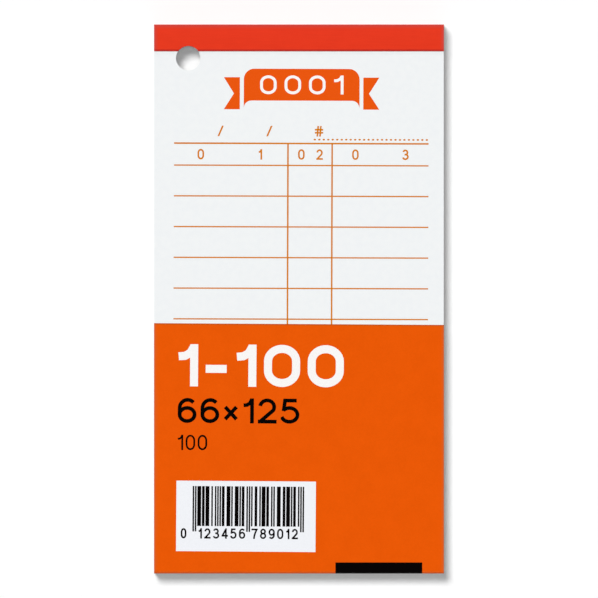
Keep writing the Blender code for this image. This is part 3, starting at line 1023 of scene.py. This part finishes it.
def makeCover():
    radius, steps, reach = cover["bendRadius"], bend["steps"], cover["creaseReach"]
    low, high = backLow.z, flapHigh.z
    thickness = backHigh.z - backLow.z
    middle = (low + high) / 2
    bendY = footLow.y + radius
    lowerBend = arc(bendY, low + radius, radius, -90, -180, steps)
    upperBend = arc(bendY, high - radius, radius, 180, 90, steps)
    lowerPath = [(backHigh.y, low), (creaseY + reach, low)] + lowerBend + [(footLow.y, middle)]
    upperPath = [(footLow.y, middle)] + upperBend + [(creaseY + reach, high), (flapHigh.y, high)]
    paints = (coverPrint, coverInside, cardCore)
    lower = bentSheet("coverBack", lowerPath, flapLow.x, flapHigh.x, thickness, paints,
                      edgeAt=0, foldAt=2 + steps // 2)
    lower = finishBent("coverBack", punchHole(lower, low, low))
    upper = bentSheet("coverFront", upperPath, flapLow.x, flapHigh.x, thickness, paints,
                      edgeAt=-1, foldAt=1 + steps // 2, endSlant=-cover["rightEdgeDrop"])
    upper = finishBent("coverFront", asMesh(upper))
    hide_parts("cover_back", "cover_foot")
    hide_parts("cover_flap")
    for piece in (lower, upper):
        piece.visible_diffuse = False    # the pale floor beside the pad takes no orange from it
    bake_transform(lower)
    foldOverFront(upper)


def makeTapeWrap():
    radius, steps = tape["bendRadius"], bend["steps"]
    low, high, head = tapeLow.z, tapeHigh.z, tapeHigh.y
    thickness = backLow.z - tapeLow.z - tape["glueLine"]
    upperBend = arc(head - radius, high - radius, radius, 90, 0, steps)
    lowerBend = arc(head - radius, low + radius, radius, 0, -90, steps)
    path = [(tapeLow.y, high)] + upperBend + lowerBend + [(tapeLow.y, low)]
    wrap = bentSheet("tapeWrap", path, tapeLow.x, tapeHigh.x, thickness, (tapeCloth, tapeCore, tapeCore),
                     edgeAt=0, foldAt=1 + steps // 2)
    wrap = finishBent("tapeWrap", punchHole(wrap, low, high))
    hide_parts("binding_tape")
    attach(wrap, "pad")


makeCover()
makeTapeWrap()
print("cover and tape wrapped")


# Print on the cover's flap

flapPrint = {
    "inkThickness": 0.004 * mm,
    "turn": -0.42,
    # text, its box (left, right, low, high), and its pen and gap as shares of its height
    "title": ("1-100", (-28.0 * mm, 10.2 * mm, -20.0 * mm, -10.4 * mm), 0.19, 0.18),
    "size": ("66×125", (-27.6 * mm, 0.1 * mm, -28.3 * mm, -22.6 * mm), 0.152, 0.16),
    "amount": ("100", (-27.7 * mm, -20.9 * mm, -34.4 * mm, -30.9 * mm), 0.12, 0.16),
    "label": (-27.95 * mm, 3.80 * mm, -57.50 * mm, -41.45 * mm),
    "bars": (-24.2 * mm, 1.1 * mm, -51.75 * mm, -42.65 * mm),
    "moduleCount": 95,
    "guards": (0, 2, 46, 48, 92, 94),     # modules that hold a guard bar
    "guardDrop": 1.25 * mm,
    "codeHalves": ((4, 45), (50, 91)),    # modules between the guards
    "barWidths": (1, 1, 2, 2, 3),         # in modules, picked at random
    "spaceWidths": (1, 1, 1, 2, 2),
    "barSpread": 0.17,                    # of a module, that a bar's ink spreads to each side
    "seed": 214,
    "codeText": (("0", -26.9 * mm, -25.6 * mm), ("123456", -22.95 * mm, -12.2 * mm),
                 ("789012", -10.8 * mm, -0.2 * mm)),
    "codeRow": (-54.6 * mm, -52.25 * mm),
    "codePen": 0.165,
    "codeGap": 0.22,
    "footBar": (8.30 * mm, 28.05 * mm, -59.97 * mm),    # left, right and top
}


def barOutlines():
    # bars of made-up widths between three pairs of guard bars; they stand for no real number
    left, right, low, high = flapPrint["bars"]
    module = (right - left) / flapPrint["moduleCount"]
    pick = random.Random(flapPrint["seed"])
    bars = [(guard, 1, flapPrint["guardDrop"]) for guard in flapPrint["guards"]]
    for start, end in flapPrint["codeHalves"]:
        at = start
        while at < end:
            wide = pick.choice(flapPrint["barWidths"])
            bars.append((at, min(wide, end - at), 0.0))
            at += wide + pick.choice(flapPrint["spaceWidths"])
    spread = flapPrint["barSpread"]
    return [rectangle(left + (at - spread) * module, left + (at + wide + spread) * module, low - drop, high)
            for at, wide, drop in bars]


def layOnFlap(name, mesh, box):
    # one printed piece, turned with the press about the middle of its box
    left, right, low, high = box
    turnInPlace(mesh, flapPrint["turn"], ((left + right) / 2, (low + high) / 2))
    piece = newPiece(name, move(mesh, 0, 0, flapHigh.z))
    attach(piece, "cover_flap")


def makeFlapPrint():
    ink, label = flapPrint["inkThickness"], flapPrint["label"]
    for name, key, material in (("titleNumerals", "title", bareCard), ("sizeNumerals", "size", blackInk),
                                ("amountNumerals", "amount", blackInk)):
        text, box, pen, gap = flapPrint[key]
        layOnFlap(name, numeralMesh(name, text, box, pen, gap, ink, material), box)
    layOnFlap("codeLabel", flatMesh("codeLabel", [rectangle(*label)], ink, whiteInk), label)
    bars = [flatMesh("bar", [outline], 2 * ink, blackInk) for outline in barOutlines()]
    layOnFlap("codeBars", joinMeshes("codeBars", bars), label)
    digits = [numeralMesh("digits", text, (left, right, *flapPrint["codeRow"]), flapPrint["codePen"],
                          flapPrint["codeGap"], 2 * ink, blackInk)
              for text, left, right in flapPrint["codeText"]]
    layOnFlap("codeNumerals", joinMeshes("codeNumerals", digits), label)


def makeFootBar():
    # a plain bar printed along the foot and over the fold
    ink, radius = flapPrint["inkThickness"], cover["bendRadius"]
    left, right, top = flapPrint["footBar"]
    face = flapHigh.z + ink
    path = arc(footLow.y + radius, flapHigh.z - radius, radius + ink, 180, 90, bend["steps"])
    path += [(creaseY + cover["creaseReach"], face), (top, face)]
    bar = bentSheet("footBar", path, left, right, ink, (blackInk,), edgeAt=-1, foldAt=0)
    foldOverFront(finishBent("footBar", onePaint(asMesh(bar), blackInk)))


makeFlapPrint()
makeFootBar()
print("flap printed")


# Solids that stay as they are

for nodeName, material in (("back_board", greyBoard), ("staple_left", stapleWire),
                           ("staple_right", stapleWire)):
    kept = frame["nodes"][nodeName].data
    kept.materials.clear()
    kept.materials.append(material)


# Studio: pale floor, one soft key from the upper left, white surroundings and a camera straight above

studio = {
    "sunLevel": 0.815,              # share of white that the key gives a level surface
    "sunAngle": 14.0,               # degrees across
    "shadowShift": (1.38, -2.25),   # how far the pad's shadow falls, in mm
    "skyAbove": 0.06,
    "skyAround": 0.76,              # the white walls round the table, which light the pad's edges
    "skyFade": 2,
    "cameraLens": 1200.0,
    "sensor": 36.0,
    "clipStart": 0.01,
    "clipEnd": 10.0,
    "pictureWidth": 598,
    "pixelsPerMetre": 4393.0,
    "floorSize": 12.0,
    "floorDrop": 0.01 * mm,
    "floorColour": (0.80, 0.80, 0.80),
    "floorLift": 0.215,             # keeps the pale floor from greying next to the pad
}


def rayShare(tree):
    # 1 for what the camera sees straight, in a reflection or through glass, otherwise 0
    paths = tree.nodes.new("ShaderNodeLightPath").outputs
    mirrored = addMath(tree, "ADD", paths["Is Glossy Ray"], paths["Is Transmission Ray"])
    return addMath(tree, "ADD", paths["Is Camera Ray"], mirrored, clamp=True)


def makeFloor():
    shape = bmesh.new()
    bmesh.ops.create_grid(shape, x_segments=1, y_segments=1, size=studio["floorSize"] / 2)
    mesh = move(intoMesh(shape, bpy.data.meshes.new("floor")), 0, 0, -studio["floorDrop"])
    material, tree, shader = newMaterial("paleFloor", studio["floorColour"], 1.0, specular=0.0)
    shader.inputs["Emission Color"].default_value = (1, 1, 1, 1)
    lift = addMath(tree, "MULTIPLY", rayShare(tree), studio["floorLift"])
    tree.links.new(lift, shader.inputs["Emission Strength"])
    mesh.materials.append(material)
    newPiece("floor", mesh)


def makeSun():
    shiftX, shiftY = studio["shadowShift"]
    height = (flapHigh.z - cadBounds[0].z) / mm
    towards = Vector((-shiftX, -shiftY, height)).normalized()
    light = bpy.data.lights.new("key", "SUN")
    light.energy = studio["sunLevel"] * math.pi / towards.z
    light.angle = math.radians(studio["sunAngle"])
    lamp = newPiece("key", light)
    lamp.rotation_mode = "QUATERNION"
    lamp.rotation_quaternion = towards.to_track_quat("Z", "Y")


def makeSky():
    world = bpy.data.worlds.new("surroundings")
    bpy.context.scene.world = world
    world.use_nodes = True
    tree = world.node_tree
    rise = axisOf(tree, tree.nodes.new("ShaderNodeTexCoord").outputs["Generated"], 2)
    lowness = addMath(tree, "POWER", addMath(tree, "SUBTRACT", 1, rise, clamp=True), studio["skyFade"])
    glow = addStep(tree, "ShaderNodeMapRange",
                   {"Value": lowness, "To Min": studio["skyAbove"], "To Max": studio["skyAround"]})
    sky = tree.nodes["Background"]
    sky.inputs["Color"].default_value = (1, 1, 1, 1)
    tree.links.new(addMath(tree, "MAXIMUM", glow, rayShare(tree)), sky.inputs["Strength"])


def makeCamera():
    camera = bpy.data.cameras.new("camera")
    camera.lens = studio["cameraLens"]
    camera.sensor_width = studio["sensor"]
    camera.clip_start = studio["clipStart"]
    camera.clip_end = studio["clipEnd"]
    seenWidth = studio["pictureWidth"] / studio["pixelsPerMetre"]
    holder = newPiece("camera", camera)
    holder.location = (0, 0, flapHigh.z + seenWidth * studio["cameraLens"] / studio["sensor"])
    bpy.context.scene.camera = holder


makeFloor()
makeSun()
makeSky()
makeCamera()
bpy.context.scene.view_settings.view_transform = "Standard"

bpy.context.view_layer.update()
print("studio ready")
